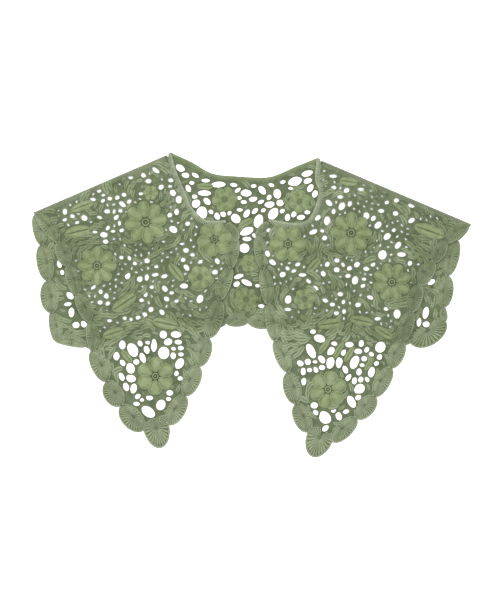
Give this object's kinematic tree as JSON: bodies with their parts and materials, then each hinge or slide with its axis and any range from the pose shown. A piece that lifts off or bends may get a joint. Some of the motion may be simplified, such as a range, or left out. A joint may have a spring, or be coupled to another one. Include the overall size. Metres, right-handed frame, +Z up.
{
  "type": "detachable lace collar laid flat",
  "caption": "Detachable lace collar laid flat, folded at both shoulders, with two scalloped lapel points over a wide back and flowers, leaves and open net",
  "frame": {"origin": "middle of the collar's plan, on the surface it lies on", "axes": "+X across the collar from the left point of the picture to the right, +Y towards the back neck, +Z up off the surface"},
  "size_m": [0.4602, 0.315, 0.0039],
  "materials": {
    "lace_back": "matt cotton thread",
    "lace_front": "matt cotton thread",
    "neck_braid": "soft satin cotton",
    "shoulder_seam": "matt cotton thread"
  },
  "bodies": {
    "root": {"back_panel": "lace_back", "front_left": "lace_front", "front_right": "lace_front", "neck_band_back": "neck_braid", "neck_band_left": "neck_braid", "neck_band_right": "neck_braid", "shoulder_seam_left": "shoulder_seam", "shoulder_seam_right": "shoulder_seam"}
  },
  "joints": []
}
